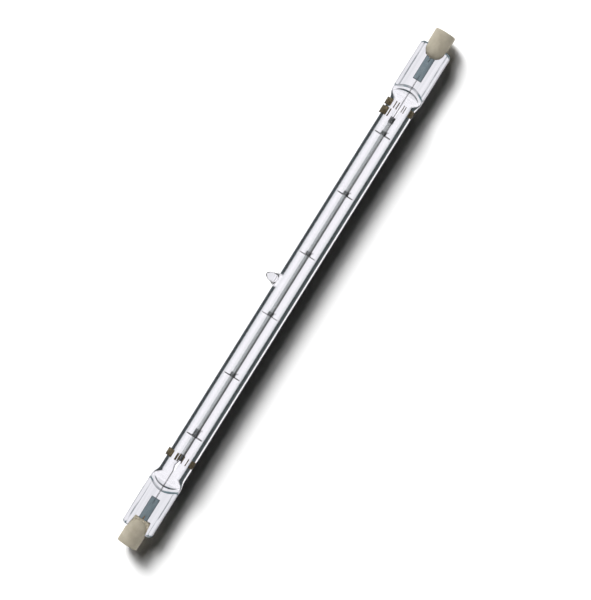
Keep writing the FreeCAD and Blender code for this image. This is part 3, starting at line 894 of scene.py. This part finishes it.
def camera():
    """Looks straight down, turned so that the lamp runs from lower left to upper right as in the photo."""
    made = bpy.data.cameras.new("camera")
    made.sensor_fit = "HORIZONTAL"
    made.sensor_width = 36
    made.lens = EYE_LENS
    made.clip_start, made.clip_end = 0.05, 20
    eye = bpy.data.objects.new("camera", made)
    right = Vector(EYE_RIGHT).normalized()
    up = Vector((-right.y, right.x, 0))
    turn = Matrix((right, up, right.cross(up))).transposed()
    eye.matrix_world = Matrix.Translation(Vector(EYE_PLACE) * MM) @ turn.to_4x4()
    bpy.context.scene.collection.objects.link(eye)
    bpy.context.scene.camera = eye


def matte(name, grey):
    """A dull surface of one grey."""
    made = Nodes(name)
    made.set(Base_Color=(grey, grey, grey, 1), Roughness=1.0, Specular_IOR_Level=0.0)
    return made


def plane(name, half_x, half_y, z, material):
    """A level rectangle that belongs to the stage."""
    corners = [(-half_x, -half_y, z), (half_x, -half_y, z), (half_x, half_y, z), (-half_x, half_y, z)]
    made = build(name, corners, [(0, 1, 2, 3)], [material], smooth_faces=False)
    return made


def direct_strength(tree, seen, shed):
    """A strength for what is seen straight or through glass, and another for the light that it sheds."""
    path = tree.nodes.new("ShaderNodeLightPath")
    strength = tree.nodes.new("ShaderNodeMapRange")
    strength.inputs["To Min"].default_value = seen
    strength.inputs["To Max"].default_value = shed
    tree.links.new(path.outputs["Diffuse Depth"], strength.inputs["Value"])
    return strength.outputs["Result"]


def bright_card(z):
    """A bright card under the lamp that only shows through the glass."""
    glow = matte("card", 0)
    glow.set(Emission_Color=(0.985, 0.98, 1.0, 1))
    glow.drive("Emission Strength", direct_strength(glow.tree, CARD_GLOW, 0))
    card = plane("card", 100, 40, z, glow.material)
    card.visible_camera = False
    card.visible_diffuse = False
    card.visible_glossy = False
    card.visible_shadow = False


def group(name, items):
    """A collection that a light is kept to, or held back by."""
    made = bpy.data.collections.new(name)
    for item in items:
        made.objects.link(item)
    return made


def sun(name, towards, strength, angle, lit):
    """A soft far light on some pieces alone, which isn't thrown on through the glass as bright streaks."""
    light = bpy.data.lights.new(name, "SUN")
    light.cycles.use_multiple_importance_sampling = False
    light.energy = strength
    light.angle = math.radians(angle)
    lamp = bpy.data.objects.new(name, light)
    lamp.rotation_mode = "QUATERNION"
    lamp.rotation_quaternion = (-Vector(towards)).to_track_quat("-Z", "Y")
    lamp.light_linking.receiver_collection = group(f"{name}_on", lit)
    bpy.context.scene.collection.objects.link(lamp)
    return lamp


def pieces_of(*substances):
    return [piece for piece in PIECES if piece["substance"] in substances]


def lights(table):
    """A narrow and a wide key for the shadow on the table, and lights of their own for the lamp's pieces."""
    ends = pieces_of("ceramic", "cement", "contact", "ink")
    wound = pieces_of("tungsten", "grip")
    flat = pieces_of("foil", "molybdenum")
    sun("key_core", KEY, 4.9, 24, [table])
    sun("key_glow", KEY, 3.2, 49, [table])
    sun("key_on_ends", KEY, 1.65, 29, ends)
    key_on_coil = sun("key_on_coil", COIL_KEY, 13.5, 29, wound)
    key_on_coil.light_linking.blocker_collection = group("key_on_coil_held_back_by", wound)
    fill_on_ends = sun("fill_on_ends", OVERHEAD, 1.5, 120, ends)
    key_on_foil = sun("key_on_foil", FOIL_KEY, 2.0, 29, flat)
    for light in (fill_on_ends, key_on_foil):
        light.data.use_shadow = False


def surroundings():
    """A white world that is seen bright but sheds little light."""
    world = bpy.data.worlds.new("studio")
    bpy.context.scene.world = world
    world.use_nodes = True
    background = world.node_tree.nodes["Background"]
    background.inputs["Color"].default_value = (1, 1, 1, 1)
    strength = direct_strength(world.node_tree, WORLD_SEEN, WORLD_SHED)
    world.node_tree.links.new(strength, background.inputs["Strength"])
    bpy.context.scene.view_settings.view_transform = "Standard"


def stage():
    """A white table with the card on it, the lights and the world."""
    floor_z = cad_box[0].z / MM
    table = plane("table", 4000, 4000, floor_z, matte("table", 0.9).material)
    bright_card(floor_z + 0.02)
    lights(table)
    surroundings()


envelope()
for word, side in SIDES.items():
    ceramic_cap(word, side)
    cap_cement(word, side)
    contact_button(word, side)
    foil(word, side)
    outer_lead(word, side)
    inner_lead(word, side)
    coil_grip(word, side)
filament()
for number in range(1, SUPPORT_COUNT + 1):
    filament_support(number)
ink_rows()
camera()
stage()
